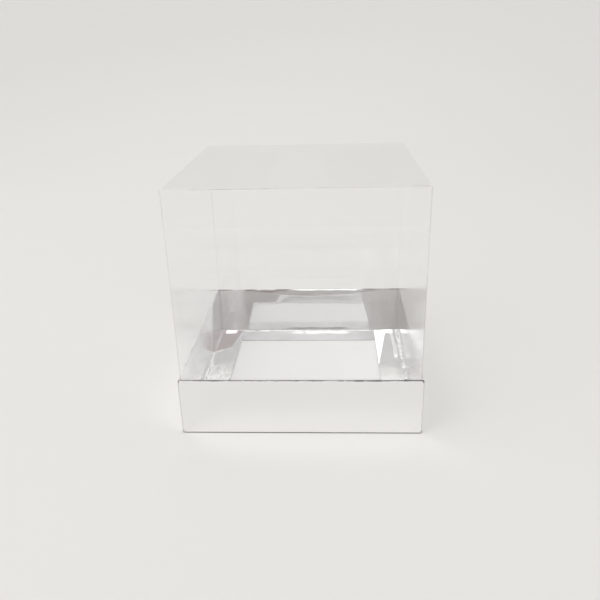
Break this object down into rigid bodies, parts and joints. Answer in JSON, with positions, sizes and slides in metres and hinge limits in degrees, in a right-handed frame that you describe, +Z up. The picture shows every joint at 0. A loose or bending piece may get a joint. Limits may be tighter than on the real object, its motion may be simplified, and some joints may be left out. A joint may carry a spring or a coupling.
{
  "type": "clear gift box with a card tray",
  "caption": "Square gift box: a clear folded-film cover with a tuck-in top stands down inside a shallow silver-faced card tray with rolled double walls.",
  "frame": {"origin": "centre of the tray's underside, on the surface that the box stands on", "axes": "+Z up; the front of the box, where the top tucks in, faces -Y; +X to the right seen from the front"},
  "size_m": [0.1, 0.1, 0.1029],
  "materials": {
    "silver_card": "polished",
    "white_card": "matte",
    "clear_film": "gloss"
  },
  "bodies": {
    "tray": {"tray_floor": "white_card", "tray_right_wall": "silver_card", "tray_right_turn_in": "silver_card", "tray_right_flange": "silver_card", "tray_back_wall": "silver_card", "tray_back_turn_in": "silver_card", "tray_back_flange": "silver_card", "tray_left_wall": "silver_card", "tray_left_turn_in": "silver_card", "tray_left_flange": "silver_card", "tray_front_wall": "silver_card", "tray_front_turn_in": "silver_card", "tray_front_flange": "silver_card", "tray_front_right_tab": "silver_card", "tray_front_left_tab": "silver_card", "tray_back_right_tab": "silver_card", "tray_back_left_tab": "silver_card"},
    "cover": {"cover_front_wall": "clear_film", "cover_right_wall": "clear_film", "cover_back_wall": "clear_film", "cover_left_wall": "clear_film", "cover_glue_flap": "clear_film"},
    "top": {"cover_top_panel": "clear_film"},
    "tuck": {"cover_tuck_flap": "clear_film"},
    "dust_right": {"cover_right_dust_flap": "clear_film"},
    "dust_left": {"cover_left_dust_flap": "clear_film"}
  },
  "joints": [
    {"name": "cover_lift", "type": "slide", "parent": "tray", "child": "cover", "axis": [0, 0, 1], "range_m": [0, 0.11]},
    {"name": "top_crease", "type": "hinge", "parent": "cover", "child": "top", "pos_m": [0, 0.04902, 0.10261], "axis": [-1, 0, 0], "range_deg": [0, 135]},
    {"name": "tuck_crease", "type": "hinge", "parent": "top", "child": "tuck", "pos_m": [0, -0.04827, 0.10278], "axis": [-1, 0, 0], "range_deg": [0, 48]},
    {"name": "dust_right_crease", "type": "hinge", "parent": "cover", "child": "dust_right", "pos_m": [0.04902, 0, 0.10221], "axis": [0, 1, 0], "range_deg": [0, 68]},
    {"name": "dust_left_crease", "type": "hinge", "parent": "cover", "child": "dust_left", "pos_m": [-0.04902, 0, 0.10221], "axis": [0, -1, 0], "range_deg": [0, 68]}
  ],
  "couplings": [
    {"joint": "tuck_crease", "follows": "top_crease", "ratio": 0.35},
    {"joint": "dust_right_crease", "follows": "top_crease", "ratio": 0.5},
    {"joint": "dust_left_crease", "follows": "top_crease", "ratio": 0.5}
  ]
}
